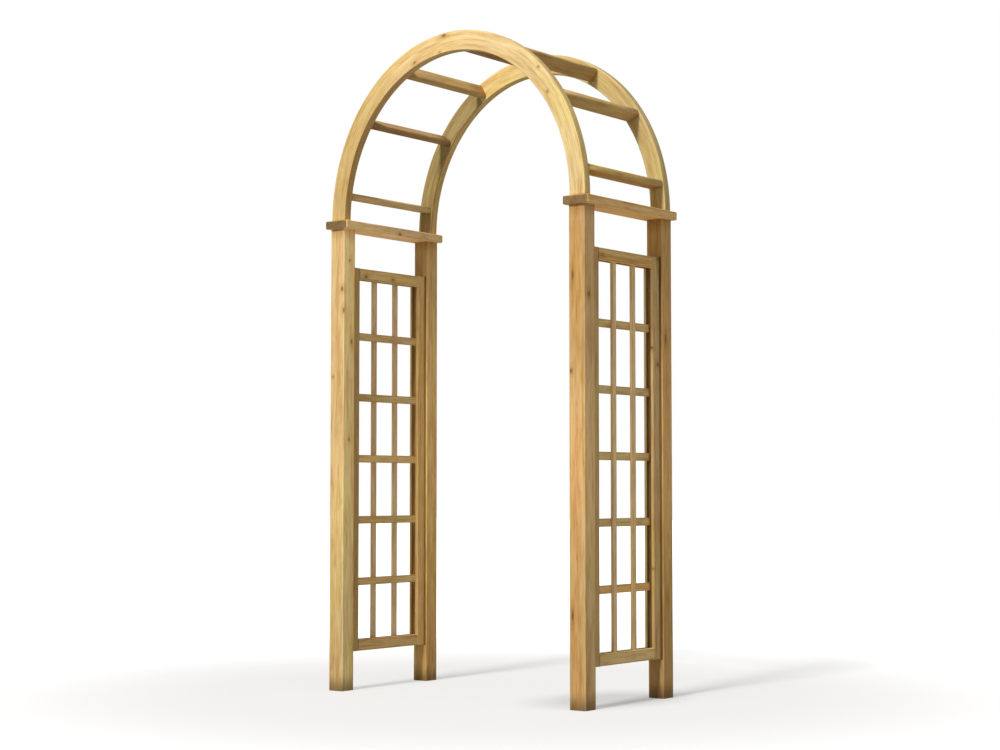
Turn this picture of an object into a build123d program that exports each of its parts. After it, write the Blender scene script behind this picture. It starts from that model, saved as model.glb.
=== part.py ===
from build123d import *
from math import radians, tan
import os

# A round-top garden arch: four square posts, a cap board across each pair,
# two elliptical bows tied by rungs, and a framed lattice panel in each side.
# X runs across the passage, -Y is the front, Z is up, and the origin is on
# the ground midway between the posts. All lengths are in millimetres.

# Posts
post_side = 75
post_height = 1986
post_edge_radius = 5
width_over_posts = 1331
depth_over_posts = 645

# Cap boards
cap_thickness = 34
cap_side_overhang = 24
cap_end_overhang = 13
cap_corner_radius = 11
cap_edge_chamfer = 3

# Bows
bow_thickness = 40
bow_setback = 5.5
bow_rise = 745
bow_foot_width = 75
bow_crown_width = 84
bow_edge_chamfer = 2

# Rungs, placed by shares of the bow's middle line from its right foot and then
# set outwards from that line
rung_width = 62
rung_thickness = 29
rung_edge_chamfer = 2
rung_outset = 3.5
rung_place_shares = [0.0545, 0.2115, 0.349, 0.5, 0.651, 0.7885, 0.9455]

# Panel frames
frame_stock = 48
frame_edge_chamfer = 3
panel_bottom = 163
panel_top_gap = 163
groove_width = 22
groove_depth = 12

# Lattice
crossbar_count = 5
crossbar_height = 33
upright_count = 2
upright_width = 28
lath_edge_chamfer = 1
lath_end_gap = 1

# Screws, pins and dowels, all with the same number of flats around them.
# Their radii are measured to a flat.
flat_count = 8
fit_clearance = 0.1
drill_spare = 3
screw_radius = 2.5
screw_head_radius = 5
screw_head_angle = 90
cap_screw_length = 95
cap_screw_spacing = 44
panel_screw_length = 75
panel_screw_count = 3
panel_screw_end_distance = 140
pin_radius = 1
pin_length = 16
bow_dowel_radius = 8
bow_dowel_bite = 34
rung_dowel_radius = 5
rung_dowel_bite = 25
rung_dowel_spacing = 32

# Places worked out from those sizes
post_x = width_over_posts / 2 - post_side / 2
post_y = depth_over_posts / 2 - post_side / 2
passage_face_y = depth_over_posts / 2 - post_side
cap_top = post_height + cap_thickness
outer_half_width = width_over_posts / 2
inner_half_width = outer_half_width - bow_foot_width
inner_rise = bow_rise - bow_crown_width
foot_x = outer_half_width - bow_foot_width / 2
bow_y = depth_over_posts / 2 - bow_setback - bow_thickness / 2
rung_end_y = bow_y - bow_thickness / 2
panel_height = post_height - panel_bottom - panel_top_gap
panel_middle = panel_bottom + panel_height / 2
stile_y = passage_face_y - frame_stock / 2
clear_half_depth = passage_face_y - frame_stock
clear_height = panel_height - 2 * frame_stock
groove_floor_y = clear_half_depth + groove_depth
lath_thickness = groove_width / 2
lath_bite = groove_depth - lath_end_gap
screw_head_depth = (screw_head_radius - screw_radius) / tan(radians(screw_head_angle / 2))

sides = {"left": -1, "right": 1}
ends = {"front": -1, "back": 1}

os.makedirs("parts", exist_ok=True)


# Each finished piece is labelled and saved under its own name.
def write(piece, name):
    piece.label = name
    export_step(piece, f"parts/{name}.step")


# Centres of equal bars that leave equal gaps across a clear space.
def bar_places(count, size, space):
    gap = (space - count * size) / (count + 1)
    first = gap + size / 2 - space / 2
    return [first + i * (gap + size) for i in range(count)]


# A flat-sided section at each step on each plane.
def flat_sided(planes, radius, steps=((0, 0),)):
    with BuildSketch(*planes) as section:
        with Locations(*steps):
            RegularPolygon(radius, flat_count, major_radius=False)
    return section.sketch


# Holes that give a dowel, pin or screw its clearance.
def drill(planes, radius, depth, steps=((0, 0),)):
    section = flat_sided(planes, radius + fit_clearance, steps)
    extrude(section, amount=-depth, mode=Mode.SUBTRACT)


# Screw holes through a piece, with a seat for each head.
def drill_and_sink(planes, depth):
    drill(planes, screw_radius, depth)
    seat = flat_sided(planes, screw_head_radius + fit_clearance)
    taper = screw_head_angle / 2
    extrude(seat, amount=-screw_head_depth, taper=taper, mode=Mode.SUBTRACT)


# Countersunk wood screws, driven until their heads are flush with the planes.
def drive_screws(planes, length):
    head = flat_sided(planes, screw_head_radius)
    extrude(head, amount=-screw_head_depth, taper=screw_head_angle / 2)
    shank = flat_sided([plane.offset(-screw_head_depth) for plane in planes], screw_radius)
    extrude(shank, amount=screw_head_depth - length)


# The dowel's plane at one post, at a height.
def foot_plane(x_sign, y_sign, height):
    return Plane((x_sign * foot_x, y_sign * bow_y, height))


# The two cap screws of one post, side by side under the bow's foot.
def cap_screw_planes(x_sign, y_sign, height):
    return [
        Plane((x_sign * foot_x + step, y_sign * bow_y, height))
        for step in (-cap_screw_spacing / 2, cap_screw_spacing / 2)
    ]


# The panel screws of one stile, as planes that face out of the drilled wood.
def panel_screw_planes(x_sign, y_sign, y):
    span = panel_height - 2 * panel_screw_end_distance
    steps = [i / (panel_screw_count - 1) - 1 / 2 for i in range(panel_screw_count)]
    return [
        Plane((x_sign * post_x, y_sign * y, panel_middle + step * span), z_dir=(0, -y_sign, 0))
        for step in steps
    ]


# Where the laths of one panel cross, as planes that face away from the passage.
def crossing_planes(x_sign, x, depths, heights):
    return [
        Plane((x_sign * x, y, z), z_dir=(x_sign, 0, 0)) for y in depths for z in heights
    ]


# The middle line of a bow, with its own Y standing for height over the caps.
with BuildLine() as middle_line:
    EllipticalCenterArc(
        (0, 0),
        (outer_half_width + inner_half_width) / 2,
        (bow_rise + inner_rise) / 2,
        start_angle=0,
        arc_size=180,
    )


# A plane at one rung whose X follows the bow's curve, facing front or back.
def rung_plane(share, y, facing):
    along = middle_line.line % share
    spot = middle_line.line @ share + rung_outset * Vector(along.Y, -along.X)
    return Plane((spot.X, y, cap_top + spot.Y), x_dir=(along.X, 0, along.Y), z_dir=(0, facing, 0))


crossbar_heights = [
    panel_middle + step for step in bar_places(crossbar_count, crossbar_height, clear_height)
]
upright_depths = bar_places(upright_count, upright_width, 2 * clear_half_depth)
rung_dowel_steps = [(0, -rung_dowel_spacing / 2), (0, rung_dowel_spacing / 2)]


# Posts, drilled on top for the bow dowel and cap screws, and for the panel.
for side, x_sign in sides.items():
    for end, y_sign in ends.items():
        with BuildPart() as post:
            with BuildSketch():
                with Locations((x_sign * post_x, y_sign * post_y)):
                    RectangleRounded(post_side, post_side, post_edge_radius)
            extrude(amount=post_height)
            top = foot_plane(x_sign, y_sign, post_height)
            drill([top], bow_dowel_radius, bow_dowel_bite + fit_clearance)
            cap_screw_bite = cap_screw_length - cap_thickness + drill_spare
            drill(cap_screw_planes(x_sign, y_sign, post_height), screw_radius, cap_screw_bite)
            panel_screw_bite = panel_screw_length - (frame_stock - groove_depth) + drill_spare
            drill(
                panel_screw_planes(x_sign, y_sign, passage_face_y), screw_radius, panel_screw_bite
            )
        write(post.part, f"post_{end}_{side}")

# Cap boards with rounded corners and chamfered edges.
for side, x_sign in sides.items():
    with BuildPart() as cap:
        with BuildSketch(Plane.XY.offset(post_height)):
            with Locations((x_sign * post_x, 0)):
                RectangleRounded(
                    post_side + 2 * cap_side_overhang,
                    depth_over_posts + 2 * cap_end_overhang,
                    cap_corner_radius,
                )
        extrude(amount=cap_thickness)
        chamfer(cap.faces().filter_by(Axis.Z).edges(), cap_edge_chamfer)
        for y_sign in ends.values():
            drill([foot_plane(x_sign, y_sign, cap_top)], bow_dowel_radius, cap_thickness)
            drill_and_sink(cap_screw_planes(x_sign, y_sign, cap_top), cap_thickness)
    write(cap.part, f"cap_{side}")

# Bows, half-elliptical bands that stand on the caps. Each is the space between
# two elliptical drums, whose rims are chamfered, over the level of the caps.
for end, y_sign in ends.items():
    with BuildPart() as bow:
        for half_width, rise, rim_step, mode in (
            (outer_half_width, bow_rise, -bow_edge_chamfer, Mode.ADD),
            (inner_half_width, inner_rise, bow_edge_chamfer, Mode.SUBTRACT),
        ):
            rim = bow_thickness / 2
            shoulder = rim - bow_edge_chamfer
            for depth, growth in (
                (-rim, rim_step), (-shoulder, 0), (shoulder, 0), (rim, rim_step)
            ):
                with BuildSketch(Plane.XZ.offset(depth - y_sign * bow_y)):
                    with Locations((0, cap_top)):
                        Ellipse(half_width + growth, rise + growth)
            loft(ruled=True, mode=mode)
        split(bisect_by=Plane.XY.offset(cap_top), keep=Keep.TOP)
        feet = [-foot_plane(x_sign, y_sign, cap_top) for x_sign in sides.values()]
        drill(feet, bow_dowel_radius, bow_dowel_bite + fit_clearance)
        joints = [rung_plane(share, y_sign * rung_end_y, -y_sign) for share in rung_place_shares]
        drill(joints, rung_dowel_radius, rung_dowel_bite + fit_clearance, rung_dowel_steps)
    write(bow.part, f"bow_{end}")

# Rungs between the bows, each set square to the curve.
for number, share in enumerate(rung_place_shares, start=1):
    with BuildPart() as rung:
        with BuildSketch(rung_plane(share, 0, 1)) as section:
            Rectangle(rung_thickness, rung_width)
            chamfer(section.vertices(), rung_edge_chamfer)
        extrude(amount=rung_end_y, both=True)
        rung_ends = [rung_plane(share, y_sign * rung_end_y, y_sign) for y_sign in ends.values()]
        drill(rung_ends, rung_dowel_radius, rung_dowel_bite + fit_clearance, rung_dowel_steps)
    write(rung.part, f"rung_{number}")

# Panel stiles, grooved along their inner edge and drilled for the panel screws.
for side, x_sign in sides.items():
    for end, y_sign in ends.items():
        with BuildPart() as stile:
            with BuildSketch(Plane.XY.offset(panel_bottom)) as section:
                with Locations((x_sign * post_x, y_sign * stile_y)):
                    Rectangle(frame_stock, frame_stock)
                chamfer(section.vertices(), frame_edge_chamfer)
                with Locations((x_sign * post_x, y_sign * (groove_floor_y - groove_depth / 2))):
                    Rectangle(groove_width, groove_depth, mode=Mode.SUBTRACT)
            extrude(amount=panel_height)
            screw_planes = panel_screw_planes(x_sign, y_sign, groove_floor_y)
            drill_and_sink(screw_planes, frame_stock - groove_depth)
        write(stile.part, f"stile_{end}_{side}")

# Panel rails, grooved towards the lattice, with a tongue in each stile.
for side, x_sign in sides.items():
    for level, z_sign in {"bottom": -1, "top": 1}.items():
        rail_z = panel_middle + z_sign * (panel_height / 2 - frame_stock / 2)
        groove_z = panel_middle + z_sign * (clear_height / 2 + groove_depth / 2)
        with BuildPart() as rail:
            with BuildSketch(Plane.XZ) as section:
                with Locations((x_sign * post_x, rail_z)):
                    Rectangle(frame_stock, frame_stock)
                chamfer(section.vertices(), frame_edge_chamfer)
            extrude(amount=clear_half_depth, both=True)
            with BuildSketch(Plane.XZ):
                with Locations((x_sign * post_x, rail_z)):
                    Rectangle(groove_width - 2 * fit_clearance, frame_stock)
            extrude(amount=groove_floor_y - fit_clearance, both=True)
            with BuildSketch(Plane.XZ):
                with Locations((x_sign * post_x, groove_z)):
                    Rectangle(groove_width, groove_depth)
            extrude(amount=groove_floor_y, both=True, mode=Mode.SUBTRACT)
        write(rail.part, f"rail_{level}_{side}")

# Lattice crossbars, which lie against the passage side of the grooves.
for side, x_sign in sides.items():
    for number, height in enumerate(crossbar_heights, start=1):
        with BuildPart() as crossbar:
            with BuildSketch(Plane.XZ) as section:
                with Locations((x_sign * (post_x - lath_thickness / 2), height)):
                    Rectangle(lath_thickness, crossbar_height)
                chamfer(section.vertices(), lath_edge_chamfer)
            extrude(amount=clear_half_depth + lath_bite, both=True)
            pin_planes = crossing_planes(x_sign, post_x, upright_depths, [height])
            drill(pin_planes, pin_radius, pin_length - lath_thickness + fit_clearance)
        write(crossbar.part, f"crossbar_{number}_{side}")

# Lattice uprights, which pass over the crossbars on the outer side.
for side, x_sign in sides.items():
    for end, depth in zip(ends, upright_depths):
        with BuildPart() as upright:
            with BuildSketch(Plane.XY.offset(panel_middle)) as section:
                with Locations((x_sign * (post_x + lath_thickness / 2), depth)):
                    Rectangle(lath_thickness, upright_width)
                chamfer(section.vertices(), lath_edge_chamfer)
            extrude(amount=clear_height / 2 + lath_bite, both=True)
            outer_face_x = post_x + lath_thickness
            pin_planes = crossing_planes(x_sign, outer_face_x, [depth], crossbar_heights)
            drill(pin_planes, pin_radius, lath_thickness)
        write(upright.part, f"upright_{end}_{side}")

# Two countersunk screws through each end of a cap, hidden under the bow foot.
with BuildPart() as cap_screws:
    for x_sign in sides.values():
        for y_sign in ends.values():
            drive_screws(cap_screw_planes(x_sign, y_sign, cap_top), cap_screw_length)
write(cap_screws.part, "cap_screws")

# Three screws from the groove of each stile into its post.
with BuildPart() as panel_screws:
    for x_sign in sides.values():
        for y_sign in ends.values():
            drive_screws(panel_screw_planes(x_sign, y_sign, groove_floor_y), panel_screw_length)
write(panel_screws.part, "panel_screws")

# A dowel up through each cap, from the post into the bow foot.
with BuildPart() as bow_dowels:
    tops = [
        foot_plane(x_sign, y_sign, cap_top + bow_dowel_bite)
        for x_sign in sides.values()
        for y_sign in ends.values()
    ]
    extrude(flat_sided(tops, bow_dowel_radius), amount=-(cap_thickness + 2 * bow_dowel_bite))
write(bow_dowels.part, "bow_dowels")

# Two dowels across the joint at each end of every rung.
with BuildPart() as rung_dowels:
    joints = [
        rung_plane(share, y_sign * rung_end_y, y_sign)
        for y_sign in ends.values()
        for share in rung_place_shares
    ]
    section = flat_sided(joints, rung_dowel_radius, rung_dowel_steps)
    extrude(section, amount=rung_dowel_bite, both=True)
write(rung_dowels.part, "rung_dowels")

# A pin at each crossing of the laths, driven from the outer side.
with BuildPart() as lath_pins:
    for x_sign in sides.values():
        heads = crossing_planes(
            x_sign, post_x + lath_thickness, upright_depths, crossbar_heights
        )
        extrude(flat_sided(heads, pin_radius), amount=-pin_length)
write(lath_pins.part, "lath_pins")
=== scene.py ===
import math
import random

import bpy
import numpy as np
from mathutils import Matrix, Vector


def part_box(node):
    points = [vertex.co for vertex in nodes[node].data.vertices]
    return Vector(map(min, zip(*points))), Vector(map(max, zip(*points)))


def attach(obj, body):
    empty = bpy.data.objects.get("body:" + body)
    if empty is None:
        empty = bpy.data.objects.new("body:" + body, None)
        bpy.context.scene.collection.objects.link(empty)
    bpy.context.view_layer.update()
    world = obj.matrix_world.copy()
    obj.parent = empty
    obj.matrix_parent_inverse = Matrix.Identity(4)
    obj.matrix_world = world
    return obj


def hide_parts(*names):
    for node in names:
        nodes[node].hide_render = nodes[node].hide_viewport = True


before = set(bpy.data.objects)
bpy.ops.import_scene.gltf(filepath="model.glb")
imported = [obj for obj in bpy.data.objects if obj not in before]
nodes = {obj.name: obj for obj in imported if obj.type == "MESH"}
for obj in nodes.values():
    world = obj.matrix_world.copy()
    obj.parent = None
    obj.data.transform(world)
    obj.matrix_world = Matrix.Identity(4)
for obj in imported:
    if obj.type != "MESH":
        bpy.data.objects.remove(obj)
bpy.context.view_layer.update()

print("garden arch: frame loaded with", len(nodes), "pieces")


# A screen colour of 0 to 255 as the linear colour that shaders use, by the sRGB curve.
def rgb(red, green, blue):
    shares = [value / 255 for value in (red, green, blue)]
    return [s / 12.92 if s <= 0.04045 else ((s + 0.055) / 1.055) ** 2.4 for s in shares] + [1]


# Puts a value, a colour or another node's output into a socket.
def feed(tree, socket, source):
    if isinstance(source, bpy.types.NodeSocket):
        tree.links.new(source, socket)
    elif source is not None:
        socket.default_value = source


# Adds a node, feeds its inputs in order and returns it.
def addNode(tree, kind, *inputs, **settings):
    node = tree.nodes.new(kind)
    for name, value in settings.items():
        setattr(node, name, value)
    for socket, source in zip(node.inputs, inputs):
        feed(tree, socket, source)
    return node


def maths(tree, operation, *inputs):
    return addNode(tree, "ShaderNodeMath", *inputs, operation=operation).outputs[0]


def vectorMaths(tree, operation, *inputs):
    node = addNode(tree, "ShaderNodeVectorMath", *inputs, operation=operation)
    return node.outputs["Value" if operation in ("LENGTH", "DOT_PRODUCT") else "Vector"]


# A soft step from 0 to 1 as the value goes from low to high.
def softStep(tree, value, low, high):
    node = addNode(tree, "ShaderNodeMapRange", value, low, high, 0.0, 1.0)
    node.interpolation_type = "SMOOTHSTEP"
    return node.outputs[0]


# The same the other way, from 1 to 0.
def softFall(tree, value, low, high):
    return maths(tree, "SUBTRACT", 1.0, softStep(tree, value, low, high))


def stretch(tree, vector, scale):
    return addNode(tree, "ShaderNodeMapping", vector, None, None, scale).outputs[0]


def noise(tree, vector, detail=2.0, roughness=0.5):
    node = addNode(tree, "ShaderNodeTexNoise")
    feed(tree, node.inputs["Vector"], vector)
    node.inputs["Scale"].default_value = 1.0
    node.inputs["Detail"].default_value = detail
    node.inputs["Roughness"].default_value = roughness
    return node


def mixColours(tree, amount, first, second, blend="MIX"):
    node = tree.nodes.new("ShaderNodeMix")
    node.data_type = "RGBA"
    node.blend_type = blend
    factor, firstColour, secondColour = (node.inputs[index] for index in (0, 6, 7))
    feed(tree, factor, amount)
    feed(tree, firstColour, first)
    feed(tree, secondColour, second)
    return node.outputs[2]  # its colour output


# A node group with its inputs and outputs named and typed.
def newGroup(name, inputs, outputs):
    group = bpy.data.node_groups.new(name, "ShaderNodeTree")
    for label, kind, value in inputs:
        socket = group.interface.new_socket(label, in_out="INPUT", socket_type="NodeSocket" + kind)
        if value is not None:
            socket.default_value = value
    for label, kind in outputs:
        group.interface.new_socket(label, in_out="OUTPUT", socket_type="NodeSocket" + kind)
    start = group.nodes.new("NodeGroupInput")
    end = group.nodes.new("NodeGroupOutput")
    return group, start.outputs, end.inputs


def useGroup(tree, group, **values):
    node = tree.nodes.new("ShaderNodeGroup")
    node.node_tree = group
    for label, value in values.items():
        feed(tree, node.inputs[label], value)
    return node.outputs


# One knot on the surface: 1 in its core, and a halo that fades out round it.
# The distance from its centre is measured in knot radii, less along the grain.
def knotSpot():
    look = {"rippleScale": 90, "ripple": 0.5, "core": (0.35, 1.25), "halo": (0.8, 3.6)}
    group, given, out = newGroup(
        "knot",
        [
            ("Place", "Vector", None),
            ("Centre", "Vector", None),
            ("Reach", "Vector", None),
            ("Cores", "Float", 0.0),
            ("Halos", "Float", 0.0),
        ],
        [("Cores", "Float"), ("Halos", "Float")],
    )
    ripple = noise(group, stretch(group, given["Place"], (look["rippleScale"],) * 3)).outputs[0]
    ripple = maths(group, "MULTIPLY_ADD", ripple, look["ripple"], -look["ripple"] / 2)
    offset = vectorMaths(group, "SUBTRACT", given["Place"], given["Centre"])
    share = vectorMaths(group, "LENGTH", vectorMaths(group, "DIVIDE", offset, given["Reach"]))
    share = maths(group, "ADD", share, ripple)
    core = softFall(group, share, *look["core"])
    halo = softFall(group, share, *look["halo"])
    feed(group, out["Cores"], maths(group, "MAXIMUM", core, given["Cores"]))
    feed(group, out["Halos"], maths(group, "MAXIMUM", halo, given["Halos"]))
    return group


# Pine as a solid: X runs along the grain and the growth rings go round the X axis.
# The rings are the distance from that axis, bent by a slow noise and pushed aside
# by knots. Small random knots grow outwards from the axis as round branches.
def pineGrain():
    look = {
        "seedDrift": (7.3, 3.1, 5.7),  # how far a seed of 1 moves the noises
        "wander": 0.044, "wanderStretch": (1.6, 9, 9),
        "knotsPerMetre": 4.6, "knotSpread": 0.46, "knotRadius": 0.05,
        "branchSizes": (0.35, 1.0), "thickness": (0.8, 0.04),  # few branches are thick
        "knotCore": (0.4, 1.2), "knotHalo": (0.6, 3.2), "knotPush": 0.014,
        "ringWidth": 0.0042, "lateWood": 2.2, "ringCloses": (0.9, 1.0),
        "heartEdge": (-0.012, 0.006), "heartAmount": 0.8, "heartTone": (1.0, 0.84, 0.7),
        "lateAmount": 0.6, "lateTone": (0.82, 0.7, 0.55),
        "haloAmount": 0.6, "haloTone": (0.76, 0.64, 0.48),
        "coreAmount": 0.72, "coreColour": rgb(98, 62, 34),
        "fibreStretch": (28, 900, 900), "fibreShade": (0.24, 0.9), "blotchShade": (0.5, 0.91),
        "roughness": 0.72, "lateGloss": -0.12, "coreGloss": -0.14,
        "lateRise": 0.35, "fibreRise": 0.65, "coreDip": 0.4,
    }
    # Noises laid over the wood in turn: how each is stretched along and across the
    # grain, where it begins and is full, and the tone that it gives there.
    layers = {
        "streak": {"stretch": (0.9, 34, 34), "step": (0.42, 0.72), "tone": (0.9, 0.82, 0.7)},
        "thread": {
            "stretch": (5, 190, 190), "detail": 2.0, "step": (0.5, 0.75), "tone": (0.86, 0.8, 0.7),
        },
        "blotch": {
            "stretch": (2.2, 8, 8), "step": (0.46, 0.7), "amount": 0.8, "tone": (0.88, 0.93, 0.72),
        },
        "stain": {
            "stretch": (4.5, 36, 36), "roughness": 0.65, "step": (0.5, 0.8),
            "tone": (0.78, 0.68, 0.52),
        },
        "mottle": {
            "stretch": (7, 75, 75), "roughness": 0.65, "step": (0.42, 0.66),
            "tone": (0.83, 0.77, 0.66),
        },
    }
    group, given, out = newGroup(
        "pine grain",
        [
            ("Place", "Vector", None),
            ("Seed", "Float", 0.0),
            ("Base", "Color", rgb(200, 160, 106)),
            ("Heart Reach", "Float", 0.02),
            ("Small Knots", "Float", 1.0),
            ("Cores", "Float", 0.0),
            ("Halos", "Float", 0.0),
        ],
        [("Color", "Color"), ("Roughness", "Float"), ("Height", "Float")],
    )
    place = given["Place"]
    shift = addNode(group, "ShaderNodeCombineXYZ", given["Seed"], given["Seed"], given["Seed"])
    drift = vectorMaths(group, "MULTIPLY", shift.outputs[0], look["seedDrift"])
    field = vectorMaths(group, "ADD", place, drift)

    wander = noise(group, stretch(group, field, look["wanderStretch"])).outputs["Color"]
    centred = vectorMaths(group, "SUBTRACT", wander, (0.5, 0.5, 0.5))
    bend = vectorMaths(group, "MULTIPLY", centred, (0, look["wander"], look["wander"]))
    bent = vectorMaths(group, "ADD", place, bend)
    radius = vectorMaths(group, "LENGTH", vectorMaths(group, "MULTIPLY", bent, (0, 1, 1)))

    outwards = vectorMaths(group, "NORMALIZE", vectorMaths(group, "MULTIPLY", place, (0, 1, 1)))
    along = vectorMaths(group, "MULTIPLY", field, (look["knotsPerMetre"], 0, 0))
    spread = (look["knotSpread"],) * 3
    branch = addNode(group, "ShaderNodeTexVoronoi")
    branchPlace = vectorMaths(group, "MULTIPLY_ADD", outwards, spread, along)
    feed(group, branch.inputs["Vector"], branchPlace)
    branch.inputs["Scale"].default_value = 1.0
    size = addNode(group, "ShaderNodeSeparateColor", branch.outputs["Color"]).outputs[0]
    size = softStep(group, size, *look["branchSizes"])
    reach = maths(group, "MULTIPLY_ADD", size, *look["thickness"])
    reach = maths(group, "MULTIPLY", reach, look["knotRadius"])
    reach = maths(group, "MULTIPLY", reach, given["Small Knots"])
    share = maths(group, "DIVIDE", branch.outputs["Distance"], reach)
    core = maths(group, "MAXIMUM", softFall(group, share, *look["knotCore"]), given["Cores"])
    halo = maths(group, "MAXIMUM", softFall(group, share, *look["knotHalo"]), given["Halos"])

    # Late wood darkens towards the end of each ring and stops short where it closes.
    pushed = maths(group, "MULTIPLY_ADD", halo, look["knotPush"], radius)
    ring = maths(group, "FRACT", maths(group, "DIVIDE", pushed, look["ringWidth"]))
    late = maths(group, "POWER", ring, look["lateWood"])
    late = maths(group, "MULTIPLY", late, softFall(group, ring, *look["ringCloses"]))

    def toned(colour, amount, tone):
        return mixColours(group, amount, colour, [*tone, 1], "MULTIPLY")

    heart = maths(group, "SUBTRACT", radius, given["Heart Reach"])
    heart = softFall(group, heart, *look["heartEdge"])
    heart = maths(group, "MULTIPLY", heart, look["heartAmount"])
    colour = toned(given["Base"], heart, look["heartTone"])
    colour = toned(colour, maths(group, "MULTIPLY", late, look["lateAmount"]), look["lateTone"])
    noises = {}
    for label, layer in layers.items():
        stretched = stretch(group, field, layer["stretch"])
        fine = noise(group, stretched, layer.get("detail", 3.0), layer.get("roughness", 0.6))
        noises[label] = fine.outputs[0]
        amount = softStep(group, noises[label], *layer["step"])
        amount = maths(group, "MULTIPLY", amount, layer.get("amount", 1.0))
        colour = toned(colour, amount, layer["tone"])

    fibre = noise(group, stretch(group, field, look["fibreStretch"]), 2.0, 0.6).outputs[0]
    shade = maths(group, "MULTIPLY_ADD", noises["blotch"], *look["blotchShade"])
    fibreShade = maths(group, "MULTIPLY_ADD", fibre, *look["fibreShade"])
    shade = maths(group, "MULTIPLY", shade, fibreShade)
    grey = addNode(group, "ShaderNodeCombineColor", shade, shade, shade).outputs[0]
    colour = mixColours(group, 1.0, colour, grey, "MULTIPLY")
    colour = toned(colour, maths(group, "MULTIPLY", halo, look["haloAmount"]), look["haloTone"])
    darkness = maths(group, "MULTIPLY", core, look["coreAmount"])
    feed(group, out["Color"], mixColours(group, darkness, colour, look["coreColour"]))

    rough = maths(group, "MULTIPLY_ADD", late, look["lateGloss"], look["roughness"])
    feed(group, out["Roughness"], maths(group, "MULTIPLY_ADD", core, look["coreGloss"], rough))
    raised = maths(group, "MULTIPLY", fibre, look["fibreRise"])
    raised = maths(group, "MULTIPLY_ADD", late, look["lateRise"], raised)
    dip = maths(group, "MULTIPLY", core, look["coreDip"])
    feed(group, out["Height"], maths(group, "SUBTRACT", raised, dip))
    return group


# Arrises turn pale, partly from wear and partly as a painted highlight, and end grain
# soaks up more treatment. Place runs from -1 to 1 over the piece's box, and Normal is
# turned so that its X is along the grain.
def timberWearAndSheen():
    look = {
        "edgeFrom": 0.84, "paleTone": (1.35, 1.35, 1.3, 1),
        "endFacing": (0.5, 0.9), "endTone": (0.33, 0.34, 0.36, 1),
    }
    group, given, out = newGroup(
        "timber wear and sheen",
        [
            ("Color", "Color", None),
            ("Place", "Vector", None),
            ("Normal", "Vector", (0, 0, 1)),
            ("Rubbed", "Float", 0.3),
        ],
        [("Color", "Color")],
    )
    size = vectorMaths(group, "ABSOLUTE", given["Place"])
    axes = addNode(group, "ShaderNodeSeparateXYZ", size).outputs
    # Pale arrises: partly wear, partly a painted highlight.
    nearEdge = maths(group, "MINIMUM", axes[1], axes[2])
    edge = softStep(group, nearEdge, look["edgeFrom"], 1.0)
    edge = maths(group, "MULTIPLY", edge, given["Rubbed"])
    colour = mixColours(group, edge, given["Color"], look["paleTone"], "MULTIPLY")
    normal = addNode(group, "ShaderNodeSeparateXYZ", given["Normal"]).outputs
    end = softStep(group, maths(group, "ABSOLUTE", normal[0]), *look["endFacing"])
    dark = mixColours(group, 1.0, given["Color"], look["endTone"], "MULTIPLY")
    feed(group, out["Color"], mixColours(group, end, colour, dark))
    return group


# Tones a patch on one side of a piece. The patch lies past Depth towards that side,
# between Near and Wide as shares of the half width, and from Start to End along it.
# The values that it starts with reach over the whole of a flat side.
def sidePatch():
    group, given, out = newGroup(
        "side patch",
        [
            ("Color", "Color", None),
            ("Place", "Vector", None),
            ("Side", "Vector", (0, 0, 1)),
            ("Tone", "Color", (1, 1, 1, 1)),
            ("Depth", "Float", 0.95),
            ("Near", "Float", -1.0),
            ("Wide", "Float", 2.0),
            ("Start", "Float", -2.0),
            ("End", "Float", 2.0),
        ],
        [("Color", "Color")],
    )
    place, side = given["Place"], given["Side"]
    depth = vectorMaths(group, "DOT_PRODUCT", place, side)
    size, sideSize = vectorMaths(group, "ABSOLUTE", place), vectorMaths(group, "ABSOLUTE", side)
    flank = vectorMaths(group, "ABSOLUTE", vectorMaths(group, "CROSS_PRODUCT", size, sideSize))
    flank = addNode(group, "ShaderNodeSeparateXYZ", flank).outputs[0]
    length = addNode(group, "ShaderNodeSeparateXYZ", place).outputs[0]
    mask = maths(group, "GREATER_THAN", depth, given["Depth"])
    for value, low, high in ((flank, "Near", "Wide"), (length, "Start", "End")):
        mask = maths(group, "MULTIPLY", mask, maths(group, "GREATER_THAN", value, given[low]))
        mask = maths(group, "MULTIPLY", mask, maths(group, "LESS_THAN", value, given[high]))
    feed(group, out["Color"], mixColours(group, mask, given["Color"], given["Tone"], "MULTIPLY"))
    return group


knotGroup = knotSpot()
grainGroup = pineGrain()
wearSheenGroup = timberWearAndSheen()
patchGroup = sidePatch()
chance = random.Random(11)

woodSurface = {"bumpStrength": 0.35, "bumpDistance": 0.0008, "specular": 0.3}

# Turns that bring each piece's length onto the X axis of the grain.
turns = {"y": (0, 0, -math.pi / 2), "z": (0, math.pi / 2, 0)}

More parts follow.
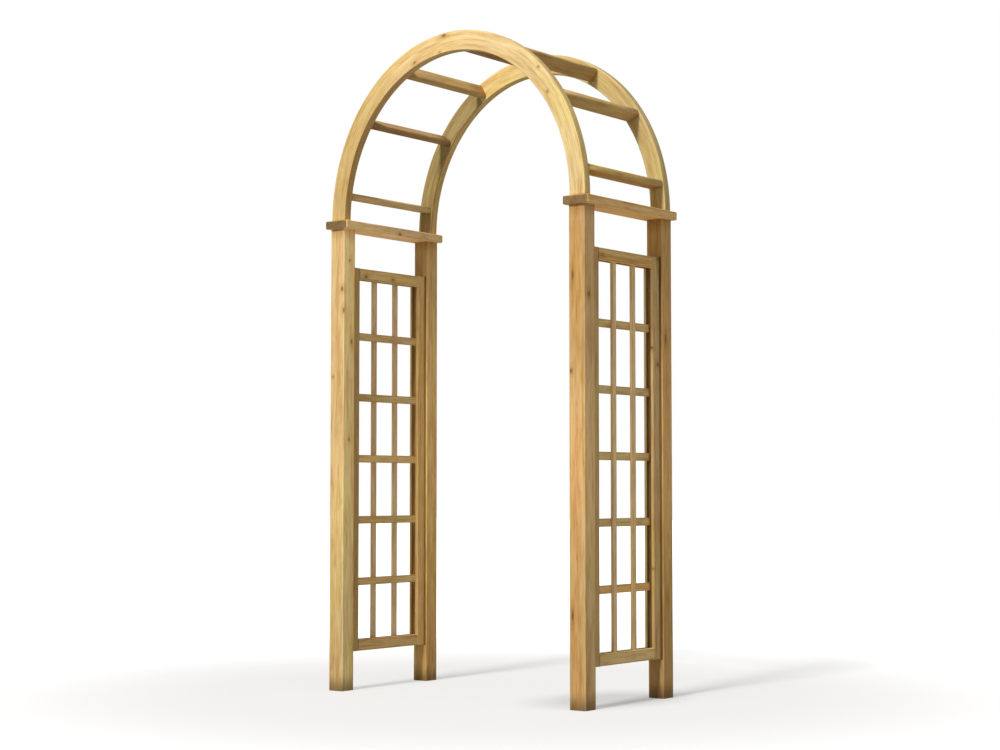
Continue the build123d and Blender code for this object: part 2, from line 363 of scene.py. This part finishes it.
# The knots that show: their centres in metres, and their radii along the grain
# and across it.
knots = {
    "post_front_left": [
        ((-0.5905, -0.284, 1.849), 0.008, 0.006), ((-0.600, -0.3225, 1.723), 0.012, 0.008),
        ((-0.5905, -0.3225, 1.630), 0.015, 0.007), ((-0.5905, -0.270, 1.497), 0.014, 0.006),
        ((-0.5905, -0.284, 1.074), 0.010, 0.005), ((-0.649, -0.3225, 1.344), 0.007, 0.004),
    ],
    "post_front_right": [
        ((0.609, -0.3225, 1.704), 0.024, 0.006), ((0.6655, -0.290, 1.628), 0.013, 0.010),
        ((0.6016, -0.3225, 1.325), 0.012, 0.008), ((0.607, -0.3225, 0.367), 0.026, 0.006),
    ],
    "post_back_right": [((0.6655, 0.274, 1.483), 0.024, 0.007)],
    "stile_back_right": [
        ((0.652, 0.237, 1.816), 0.010, 0.008), ((0.652, 0.233, 1.376), 0.011, 0.009),
        ((0.645, 0.1995, 1.444), 0.009, 0.006), ((0.645, 0.2, 0.534), 0.006, 0.005),
    ],
    "rail_top_left": [
        ((-0.604, -0.159, 1.789), 0.010, 0.008), ((-0.604, 0.023, 1.791), 0.008, 0.006),
    ],
    "cap_left": [((-0.5665, 0.0255, 1.992), 0.009, 0.007)],
    "bow_front": [
        ((-0.048, -0.317, 2.751), 0.013, 0.008), ((0.442, -0.317, 2.555), 0.006, 0.005),
        ((0.481, -0.317, 2.455), 0.007, 0.005), ((-0.070, -0.317, 2.685), 0.005, 0.004),
        ((-0.204, -0.317, 2.659), 0.009, 0.005),
    ],
}


# A point turned as the grain is, so that the piece's length lies on X.
def turned(point, along):
    x, y, z = point
    return {"y": (y, -x, z), "z": (z, y, -x)}[along]


# A shader tree of one piece, joining up the grain, the knots, the wear with its painted
# highlight, and the fades and patches, which hold most of the painted light and shade.
def pineTree(name, look, grainPlace, boxPlace, facing, spots):
    material = bpy.data.materials.new(name)
    material.use_nodes = True
    tree = material.node_tree
    shader = tree.nodes["Principled BSDF"]
    place, box, normal = grainPlace(tree), boxPlace(tree), facing(tree)
    base = look["base"]
    for start, stop, shade in look.get("fades", []):
        length = addNode(tree, "ShaderNodeSeparateXYZ", place).outputs[0]
        if start < stop:
            amount = softStep(tree, length, start, stop)
        else:
            amount = softFall(tree, length, stop, start)
        base = mixColours(tree, amount, base, (*shade, 1), "MULTIPLY")
    cores = halos = None
    for centre, long, wide in spots:
        spot = useGroup(
            tree, knotGroup, Place=place, Centre=centre, Reach=(long, wide, wide),
            Cores=cores, Halos=halos,
        )
        cores, halos = spot["Cores"], spot["Halos"]
    grain = useGroup(
        tree, grainGroup, Place=place, Seed=chance.uniform(0, 10), Base=base,
        **{"Heart Reach": look["heart"], "Small Knots": look["smallKnots"]},
        Cores=cores, Halos=halos,
    )
    colour = useGroup(
        tree, wearSheenGroup, Color=grain["Color"], Place=box, Normal=normal, Rubbed=look["wearAndSheen"],
    )["Color"]
    for patch in look.get("patches", []):
        colour = useGroup(tree, patchGroup, Color=colour, Place=box, **patch)["Color"]
    bump = addNode(tree, "ShaderNodeBump")
    bump.inputs["Strength"].default_value = woodSurface["bumpStrength"]
    bump.inputs["Distance"].default_value = woodSurface["bumpDistance"]
    feed(tree, bump.inputs["Height"], grain["Height"])
    feed(tree, shader.inputs["Base Color"], colour)
    feed(tree, shader.inputs["Roughness"], grain["Roughness"])
    feed(tree, shader.inputs["Normal"], bump.outputs[0])
    shader.inputs["Specular IOR Level"].default_value = woodSurface["specular"]
    return material


# How far a piece lies from the pith of its log, as a shift across the grain.
def pithShift(look):
    angle = chance.uniform(*look.get("pithAngles", (0, 2 * math.pi)))
    reach = chance.uniform(*look["pithDistances"])
    return 0, reach * math.cos(angle), reach * math.sin(angle)


# Pine for one straight piece, with its own place in its own log.
def pine(name, look, centre, size):
    along = look["along"]
    shift = [p - m for p, m in zip(pithShift(look), turned(centre, along))]

    def mapped(tree, coordinate, location=(0, 0, 0), scale=(1, 1, 1), kind="POINT"):
        source = tree.nodes.new("ShaderNodeTexCoord").outputs[coordinate]
        inputs = source, location, turns[along], scale
        return addNode(tree, "ShaderNodeMapping", *inputs, vector_type=kind).outputs[0]

    boxShift = turned([-2 * c / s for c, s in zip(centre, size)], along)
    spots = [
        ([t + s for t, s in zip(turned(place, along), shift)], long, wide)
        for place, long, wide in knots.get(look.get("piece"), [])
    ]
    return pineTree(
        name,
        look,
        lambda tree: mapped(tree, "Object", shift),
        lambda tree: mapped(tree, "Object", boxShift, [2 / s for s in size]),
        lambda tree: mapped(tree, "Normal", kind="NORMAL"),
        spots,
    )


def setMaterial(piece, material):
    piece.data.materials.clear()
    piece.data.materials.append(material)


# Tones along the posts, from where each begins to where it is full, in metres above
# the post's middle: painted shade over the lower half, where light falls off towards the
# floor, painted shadow under the cap, and darker near the very foot.
postFades = {
    "low": (-0.1, -0.75, (0.8, 0.8, 0.78)),
    "top": (0.93, 0.99, (0.74, 0.7, 0.64)),
    "foot": (-0.91, -0.992, (0.4, 0.38, 0.36)),
}

# Tones on the inner and outer curves of the bows: painted shade on the inner curve,
# which faces down, and a darker tone on the outer one.
bowCurves = [
    {"Side": (0, -1, 0), "Tone": (0.84, 0.78, 0.7, 1)},
    {"Side": (0, 1, 0), "Tone": (0.8, 0.8, 0.78, 1)},
]

diagonal = 0.7071  # each part of a unit vector halfway between two axes

# How each kind of piece looks, and which way the grain runs in the straight ones.
timbers = {
    "post": {
        "along": "z", "pithDistances": (0.012, 0.03), "heart": 0.026, "smallKnots": 0.5,
        "wearAndSheen": 0.3, "base": rgb(221, 184, 126),
        "fades": list(postFades.values()),
    },
    "cap": {
        "along": "y", "pithDistances": (0.05, 0.1), "heart": 0.03, "smallKnots": 0.6,
        "wearAndSheen": 0.1, "base": rgb(232, 192, 128),
        # Painted light on the underside, and the upper +X arris toned darker.
        "patches": [
            {"Side": (0, 0, -1), "Tone": (1.45, 1.4, 1.34, 1)},
            {"Side": (0, -diagonal, diagonal), "Depth": 1.1, "Tone": (0.8, 0.77, 0.7, 1)},
        ],
    },
    "bow": {
        "pithDistances": (0.05, 0.1), "heart": 0.03, "smallKnots": 1.2,
        "wearAndSheen": 0.5, "base": rgb(236, 206, 147), "patches": bowCurves,
    },
    "rung": {
        "pithDistances": (0.02, 0.06), "heart": 0.02, "smallKnots": 1.0,
        "wearAndSheen": 0.3, "base": rgb(204, 173, 114),
    },
    "stile": {
        "along": "z", "pithDistances": (0.03, 0.06), "heart": 0.02, "smallKnots": 0.6,
        "wearAndSheen": 0.3, "base": rgb(208, 174, 118),
    },
    "rail": {
        "along": "y", "pithDistances": (0.03, 0.06), "heart": 0.02, "smallKnots": 0.9,
        "wearAndSheen": 0.3, "base": rgb(229, 193, 128),
    },
    "crossbar": {
        "along": "y", "pithDistances": (0.03, 0.06), "heart": 0.02, "smallKnots": 0.5,
        "wearAndSheen": 0.3, "base": rgb(234, 204, 141),
    },
    "upright": {
        "along": "z", "pithDistances": (0.03, 0.06), "heart": 0.02, "smallKnots": 0.5,
        "wearAndSheen": 0.3, "base": rgb(246, 215, 166),
    },
}

# Pieces that differ from their kind. A bow's fades are in metres along it from its
# right foot, and its patches start and end at shares of it from -1 to 1.
singleLooks = {
    "post_front_left": {
        "base": rgb(234, 205, 140),
        # Painted light on the +X side, and the front face toned a little darker.
        "patches": [
            {"Side": (0, 0, -1), "Tone": (1.42, 1.53, 1.8, 1)},
            {"Side": (0, -1, 0), "Tone": (0.94, 0.9, 1, 1)},
        ],
    },
    "post_front_right": {
        "pithDistances": (0.016, 0.016), "pithAngles": (0, 0), "heart": 0.03,
        # Painted shade over the upper part, and painted light on the +X side.
        "fades": [*postFades.values(), (0.2, 0.45, (0.84, 0.8, 0.8))],
        "patches": [{"Side": (0, 0, -1), "Tone": (1.17, 1.24, 1.38, 1)}],
    },
    "post_back_left": {
        "base": rgb(250, 211, 142),
        # Painted shade low down and towards the top, and painted cap shadow atop the front face.
        "fades": [
            (-0.1, -0.75, (0.78, 0.76, 0.72)), (0.4, 0.95, (0.8, 0.78, 0.76)),
            postFades["top"], postFades["foot"],
        ],
        "patches": [{"Side": (0, -1, 0), "Start": 0.84, "Tone": (0.8, 0.8, 0.78, 1)}],
    },
    "post_back_right": {
        "base": rgb(225, 185, 120),
        # Painted shade low down and towards the top.
        "fades": [
            (-0.1, -0.75, (0.7, 0.68, 0.64)), (0.3, 0.95, (0.8, 0.78, 0.7)),
            postFades["top"], postFades["foot"],
        ],
    },
    "cap_left": {
        "base": rgb(255, 222, 166),
        # Painted light on the underside, and the front end toned darker.
        "patches": [
            {"Side": (0, 0, -1), "Tone": (1.35, 1.28, 1.2, 1)},
            {"Side": (-1, 0, 0), "Depth": 0.99, "Tone": (0.66, 0.6, 0.5, 1)},
        ],
    },
    "bow_front": {"fades": [(1.2, 1.75, (0.78, 0.76, 0.64)), (1.1, 0.7, (0.96, 1.0, 1.06))]},
    "bow_back": {
        "base": rgb(240, 213, 148), "fades": [(1.4, 0.5, (0.7, 0.71, 0.72))],
        "patches": [
            *bowCurves,
            # Painted shadow of the front bow over the front face of the left part.
            {"Side": (0, 0, -1), "Depth": 0.8, "Start": 0.32, "Tone": (0.46, 0.46, 0.44, 1)},
        ],
    },
    "stile_front_left": {"base": rgb(200, 168, 112)},
    # The back left stile's lips are toned darker in place of the painted highlight.
    "stile_back_left": {"base": rgb(240, 200, 134), "paintedLips": (0.8, 0.84, 0.82, 1)},
    "stile_back_right": {"base": rgb(210, 184, 134)},
    "rail_bottom_right": {"base": rgb(229, 199, 140)},
    "rail_top_left": {"base": rgb(240, 206, 140)},
    "crossbar_1_right": {"base": rgb(244, 196, 130)},
    "crossbar_3_left": {"base": rgb(250, 216, 146)},
    "crossbar_4_right": {"base": rgb(226, 202, 148)},
    "rung_3": {"base": rgb(186, 156, 102)},
    "rung_4": {"base": rgb(176, 138, 84)},
    "rung_6": {"base": rgb(180, 148, 98)},
    "rung_7": {"base": rgb(226, 198, 138)},
}


# Painted light and shade that several kinds of piece share, as patches: painted shade
# in a groove, a painted highlight on its lips, painted shade in the corners beside a
# stile, and painted shade along arrises and face edges.
sharedLightAndShade = {
    "groove": {"Depth": 0.47, "Wide": 0.47, "Tone": (0.5, 0.42, 0.34, 1)},
    "paintedLips": {"Depth": 0.97, "Near": 0.47, "Tone": (1.3, 1.38, 1.32, 1)},
    "corners": {
        "Near": 0.6, "Wide": 0.89, "Start": -0.84, "End": 0.84, "Tone": (0.34, 0.29, 0.22, 1),
    },
    "arrisShade": {"Depth": 1.31, "Tone": (0.66, 0.6, 0.52, 1)},
    "edgeShade": {"Near": 0.76, "Tone": (0.76, 0.7, 0.62, 1)},
}
inwardLightAndShade = {"stile": ["groove", "paintedLips"], "rail": ["groove", "paintedLips"], "post": ["corners"]}

# The sides that the arrises and face edges with painted shade lie towards.
shadedArrises = {
    "post": [(0, diagonal, -diagonal), (0, diagonal, diagonal)],
    "bow": [(0, diagonal, diagonal), (0, -diagonal, diagonal)],
}
shadedEdges = {
    "crossbar": [(0, 1, 0), (0, -1, 0)],
    "upright": [(0, 0, 1), (0, 0, -1)],
    "rail": [(0, 1, 0), (0, -1, 0)],
}


# A piece's look is its kind's, then what it has of its own, then the shared painted
# light and shade. Stiles and rails have painted shade in the groove and a painted
# highlight on its lips, and posts painted shade in the corners, on the side that faces
# the middle of their panel.
def lookOf(name):
    kind, place = name.split("_")[:2]
    look = {**timbers[kind], **singleLooks.get(name, {}), "piece": name}
    inwards = {
        "stile": (0, 1 if place == "front" else -1, 0),
        "rail": (0, 0, 1 if place == "bottom" else -1),
        "post": (0, 1 if place == "front" else -1, 0),
    }.get(kind)
    added = []
    for label in inwardLightAndShade.get(kind, []):
        tone = look.get(label, sharedLightAndShade[label]["Tone"])
        added.append({**sharedLightAndShade[label], "Side": inwards, "Tone": tone})
    added += [{**sharedLightAndShade["arrisShade"], "Side": side} for side in shadedArrises.get(kind, [])]
    added += [{**sharedLightAndShade["edgeShade"], "Side": side} for side in shadedEdges.get(kind, [])]
    look["patches"] = look.get("patches", []) + added
    return look


for name, piece in nodes.items():
    kind = name.split("_")[0]
    if kind in timbers and kind not in ("bow", "rung"):
        low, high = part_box(name)
        centre = [(a + b) / 2 for a, b in zip(low, high)]
        size = [b - a for a, b in zip(low, high)]
        setMaterial(piece, pine(name + " pine", lookOf(name), centre, size))
print("straight timber finished")


# A rectangular section with rounded corners: each corner is a quarter turn of a
# small circle, set in from the rectangle's own corner by the circle's radius.
def roundedSection(halfWide, halfDeep, radius, cornerSteps=6):
    bend = np.linspace(0, np.pi / 2, cornerSteps)
    angles = np.concatenate([bend + quarter * np.pi / 2 for quarter in range(4)])
    signs = np.repeat([(1, 1), (-1, 1), (-1, -1), (1, -1)], cornerSteps, axis=0)
    u = (np.asarray(halfWide)[..., None] - radius) * signs[:, 0] + radius * np.cos(angles)
    v = (np.asarray(halfDeep)[..., None] - radius) * signs[:, 1] + radius * np.sin(angles)
    return u, v


# A closed skin in place of a CAD node: rows of sections, each joined to the next by
# quads, and one face over each end. Each point keeps where it is along, across and
# through the piece, for the grain in metres, and from -1 to 1 for the wear and for the
# painted light and shade.
def timberSkin(name, points, along, across, through, boxPlace):
    rows, columns = across.shape
    index = np.arange(rows * columns).reshape(rows, columns)
    after = np.roll(index, -1, axis=1)
    quads = np.stack([index[:-1], index[1:], after[1:], after[:-1]], -1).reshape(-1, 4)
    faces = quads.tolist() + [index[0].tolist(), index[-1][::-1].tolist()]
    mesh = bpy.data.meshes.new(name + "_skin")
    mesh.from_pydata(points.reshape(-1, 3).tolist(), [], faces)
    mesh.shade_smooth()
    grainPlace = np.stack([along, across, through], -1)
    for label, values in (("grainPlace", grainPlace), ("boxPlace", boxPlace)):
        kept = mesh.attributes.new(label, "FLOAT_VECTOR", "POINT")
        kept.data.foreach_set("vector", values.astype(np.float32).ravel())
    skin = bpy.data.objects.new(name + "_skin", mesh)
    bpy.context.scene.collection.objects.link(skin)
    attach(skin, "root")
    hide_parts(name)
    return skin


# Pine whose grain follows a skin, because it reads the places kept on it.
def keptPine(name, look, spots=()):
    pith = pithShift(look)

    def kept(tree, label):
        node = tree.nodes.new("ShaderNodeAttribute")
        node.attribute_name = label
        return node.outputs["Vector"]

    shifted = [([c + p for c, p in zip(centre, pith)], long, wide) for centre, long, wide in spots]
    return pineTree(
        name,
        look,
        lambda tree: addNode(tree, "ShaderNodeMapping", kept(tree, "grainPlace"), pith).outputs[0],
        lambda tree: kept(tree, "boxPlace"),
        lambda tree: None,
        shifted,
    )


# A bow as a band between two half ellipses, each x = half width times the turn's cosine
# and z = rise times its sine. At each turn from the right foot to the left one, a
# rounded section lies across from the inner curve to the outer one.
def bowBand(name):
    look = {"footWidth": 0.075, "crownWidth": 0.084, "edgeRadius": 0.004, "turns": 220}
    low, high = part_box(name)
    halfWidth, rise, depth = high[0], high[2] - low[2], (high[1] - low[1]) / 2
    turn = np.linspace(0, np.pi, look["turns"] + 1)
    curve = np.stack([np.cos(turn), np.sin(turn)], 1)
    outer = curve * (halfWidth, rise)
    inner = curve * (halfWidth - look["footWidth"], rise - look["crownWidth"])
    middle = (inner + outer) / 2
    wide = np.linalg.norm(outer - inner, axis=1)
    across = (outer - inner) / wide[:, None]
    steps = np.linalg.norm(np.diff(middle, axis=0), axis=1)
    length = np.concatenate([[0], np.cumsum(steps)])

    u, v = roundedSection(wide / 2, np.full_like(wide, depth), look["edgeRadius"])
    xz = middle[:, None] + across[:, None] * u[..., None]
    middleY = (low[1] + high[1]) / 2
    points = np.stack([xz[..., 0], v + middleY, xz[..., 1] + low[2]], -1)
    along = np.broadcast_to(length[:, None], u.shape)
    share = 2 * along / length[-1] - 1
    box = np.stack([share, 2 * u / wide[:, None], v / depth], -1)
    band = timberSkin(name, points, along, u, v, box)

    # A knot's place is carried to the nearest turn of the band.
    spots = []
    for (x, y, z), long, wideReach in knots.get(name, []):
        offset = np.array([x, z - low[2]]) - middle
        nearest = int(np.argmin(np.linalg.norm(offset, axis=1)))
        sideways = float(offset[nearest] @ across[nearest])
        spots.append([(float(length[nearest]), sideways, y - middleY), long, wideReach])
    setMaterial(band, keptPine(name + " pine", lookOf(name), spots))


# A rung as a straight bar with well rounded edges, square to the bow's curve. Its
# turn comes from where its middle lies on the ellipse between the bow's two edges:
# the tangent there is the ellipse's own slope, and outwards is square to it.
def rungBar(name):
    look = {
        "wide": 0.062, "thick": 0.029, "edgeRadius": 0.009, "sections": 5,
        "middleWidth": 0.628, "middleRise": 0.703,
    }
    low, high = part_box(name)
    x, z = (low[0] + high[0]) / 2, (low[2] + high[2]) / 2
    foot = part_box("bow_front")[0][2]
    turn = math.atan2((z - foot) / look["middleRise"], x / look["middleWidth"])
    slope = (-look["middleWidth"] * math.sin(turn), look["middleRise"] * math.cos(turn))
    tangent = np.array(slope) / math.hypot(*slope)
    outwards = np.array([tangent[1], -tangent[0]])
    y = np.linspace(low[1], high[1], look["sections"])
    halfWide, halfThick = np.full_like(y, look["wide"] / 2), np.full_like(y, look["thick"] / 2)
    u, v = roundedSection(halfWide, halfThick, look["edgeRadius"])
    xz = np.array([x, z]) + u[..., None] * outwards + v[..., None] * tangent
    along = np.broadcast_to(y[:, None], u.shape)
    points = np.stack([xz[..., 0], along, xz[..., 1]], -1)
    box = np.stack([0 * u, 2 * u / look["wide"], 2 * v / look["thick"]], -1)
    bar = timberSkin(name, points, along, u, v, box)
    setMaterial(bar, keptPine(name + " pine", lookOf(name)))


for name in ("bow_front", "bow_back"):
    bowBand(name)
for number in range(1, 8):
    rungBar(f"rung_{number}")
print("bows and rungs finished")


# Zinc plated steel, with small spots that are duller and rougher.
def plainSteel():
    look = {
        "pale": rgb(150, 140, 112), "dark": rgb(112, 104, 86), "spotsPerMetre": 400,
        "spotStep": (0.35, 0.7), "roughness": (0.25, 0.28),
    }
    material = bpy.data.materials.new("zinc plated steel")
    material.use_nodes = True
    tree = material.node_tree
    shader = tree.nodes["Principled BSDF"]
    place = tree.nodes.new("ShaderNodeTexCoord").outputs["Object"]
    spots = noise(tree, stretch(tree, place, (look["spotsPerMetre"],) * 3), 3.0).outputs[0]
    colour = mixColours(tree, softStep(tree, spots, *look["spotStep"]), look["pale"], look["dark"])
    feed(tree, shader.inputs["Base Color"], colour)
    feed(tree, shader.inputs["Roughness"], maths(tree, "MULTIPLY_ADD", spots, *look["roughness"]))
    shader.inputs["Metallic"].default_value = 1.0
    return material


steel = plainSteel()
for name in ("cap_screws", "panel_screws", "lath_pins"):
    setMaterial(nodes[name], steel)

# The dowels of a kind are one node, so they share one wide box round the arch.
birch = {
    "pithDistances": (0.02, 0.03), "heart": 0, "smallKnots": 0, "wearAndSheen": 0,
    "base": rgb(214, 184, 140),
}
for name, along in (("bow_dowels", "z"), ("rung_dowels", "y")):
    look = {**birch, "along": along}
    setMaterial(nodes[name], pine(name + " birch", look, centre=(0, 0, 0), size=(9, 9, 9)))
print("fasteners finished")


# The floor is one wide sheet. It takes the shadows near the arch, has a painted shadow
# between the right feet and is plain white, as it is seen, from a few metres away.
def floorSheet():
    look = {
        "reach": 40, "colour": (0.42, 0.415, 0.4, 1), "roughness": 0.9, "specular": 0.1,
        "whiteFrom": 1.0, "whiteAt": 4.2, "lift": 0.48,
        "dimmed": 0.22, "dimCentre": (0.5, 0.1, 0), "dimReach": (0.36, 0.55, 1),
        "dimStep": (0.2, 1.0),
    }
    reach = look["reach"]
    mesh = bpy.data.meshes.new("floor")
    corners = [(-reach, -reach, 0), (reach, -reach, 0), (reach, reach, 0), (-reach, reach, 0)]
    mesh.from_pydata(corners, [], [(0, 1, 2, 3)])
    floor = bpy.data.objects.new("floor", mesh)
    bpy.context.scene.collection.objects.link(floor)
    material = bpy.data.materials.new("studio floor")
    material.use_nodes = True
    tree = material.node_tree
    shader = tree.nodes["Principled BSDF"]
    shader.inputs["Base Color"].default_value = look["colour"]
    shader.inputs["Roughness"].default_value = look["roughness"]
    shader.inputs["Specular IOR Level"].default_value = look["specular"]
    shader.inputs["Emission Color"].default_value = (1, 1, 1, 1)
    place = tree.nodes.new("ShaderNodeTexCoord").outputs["Object"]
    distance = vectorMaths(tree, "LENGTH", place)
    far = softStep(tree, distance, look["whiteFrom"], look["whiteAt"])
    glow = maths(tree, "MULTIPLY_ADD", far, 1 - look["lift"], look["lift"])
    # Painted shadow: the glow is lowered in a soft patch between the right feet.
    offset = vectorMaths(tree, "SUBTRACT", place, look["dimCentre"])
    share = vectorMaths(tree, "LENGTH", vectorMaths(tree, "DIVIDE", offset, look["dimReach"]))
    paintedShadow = maths(tree, "MULTIPLY", softFall(tree, share, *look["dimStep"]), look["dimmed"])
    glow = maths(tree, "SUBTRACT", glow, paintedShadow)
    seen = tree.nodes.new("ShaderNodeLightPath").outputs["Is Camera Ray"]
    feed(tree, shader.inputs["Emission Strength"], maths(tree, "MULTIPLY", seen, glow))
    mesh.materials.append(material)


# The world lights from all round and is plain white where it is seen.
def studioWorld():
    look = {"light": 0.22, "seen": 1.0}
    world = bpy.data.worlds.new("studio")
    bpy.context.scene.world = world
    world.use_nodes = True
    tree = world.node_tree
    light = tree.nodes["Background"]
    light.inputs["Color"].default_value = (1, 1, 1, 1)
    light.inputs["Strength"].default_value = look["light"]
    seen = addNode(tree, "ShaderNodeBackground", (1, 1, 1, 1), look["seen"])
    path = tree.nodes.new("ShaderNodeLightPath").outputs
    straight = maths(tree, "MAXIMUM", path["Is Camera Ray"], path["Is Glossy Ray"])
    straight = maths(tree, "MAXIMUM", straight, path["Is Transmission Ray"])
    mix = addNode(tree, "ShaderNodeMixShader", straight, light.outputs[0], seen.outputs[0])
    feed(tree, tree.nodes["World Output"].inputs[0], mix.outputs[0])


# A square lamp at a place, turned to face another.
def softLamp(name, place, target, side, power):
    lamp = bpy.data.lights.new(name, "AREA")
    lamp.size = side
    lamp.energy = power
    holder = bpy.data.objects.new(name, lamp)
    bpy.context.scene.collection.objects.link(holder)
    way = [t - p for t, p in zip(target, place)]
    holder.location = place
    holder.rotation_euler = (
        math.acos(-way[2] / math.dist(place, target)),
        0,
        math.atan2(way[1], way[0]) - math.pi / 2,
    )


lamps = {
    "high front lamp": {
        "place": (0.3, -3.4, 4.8), "target": (0, 0, 1.6), "side": 1.6, "power": 36,
    },
    "fill from the right": {
        "place": (6.0, -1.0, 4.0), "target": (0, 0, 1.4), "side": 3.0, "power": 30,
    },
}


# The key comes from far in front, nearly square on, so that the front posts shade
# the back ones. Its turn is towards +X and its tilt is up from the floor, in degrees.
def farKey():
    look = {"turn": 2.6, "tilt": 47, "softness": 9, "strength": 2.5}
    lamp = bpy.data.lights.new("key", "SUN")
    lamp.energy = look["strength"]
    lamp.angle = math.radians(look["softness"])
    holder = bpy.data.objects.new("key", lamp)
    holder.rotation_euler = (math.radians(90 - look["tilt"]), 0, math.radians(look["turn"]))
    bpy.context.scene.collection.objects.link(holder)


# The camera stands in front and to the right of the arch, below eye level.
def photoCamera():
    look = {
        "lens": 70.8, "sensorWidth": 36,
        "place": (5.0153, -6.6681, 0.8599), "tilt": 93.325, "turn": 36.897,
    }
    camera = bpy.data.cameras.new("camera")
    camera.lens = look["lens"]
    camera.sensor_width = look["sensorWidth"]
    holder = bpy.data.objects.new("camera", camera)
    holder.location = look["place"]
    holder.rotation_euler = (math.radians(look["tilt"]), 0, math.radians(look["turn"]))
    bpy.context.scene.collection.objects.link(holder)
    bpy.context.scene.camera = holder


floorSheet()
studioWorld()
for name, lamp in lamps.items():
    softLamp(name, **lamp)
farKey()
photoCamera()
bpy.context.scene.view_settings.view_transform = "Standard"
print("studio finished")
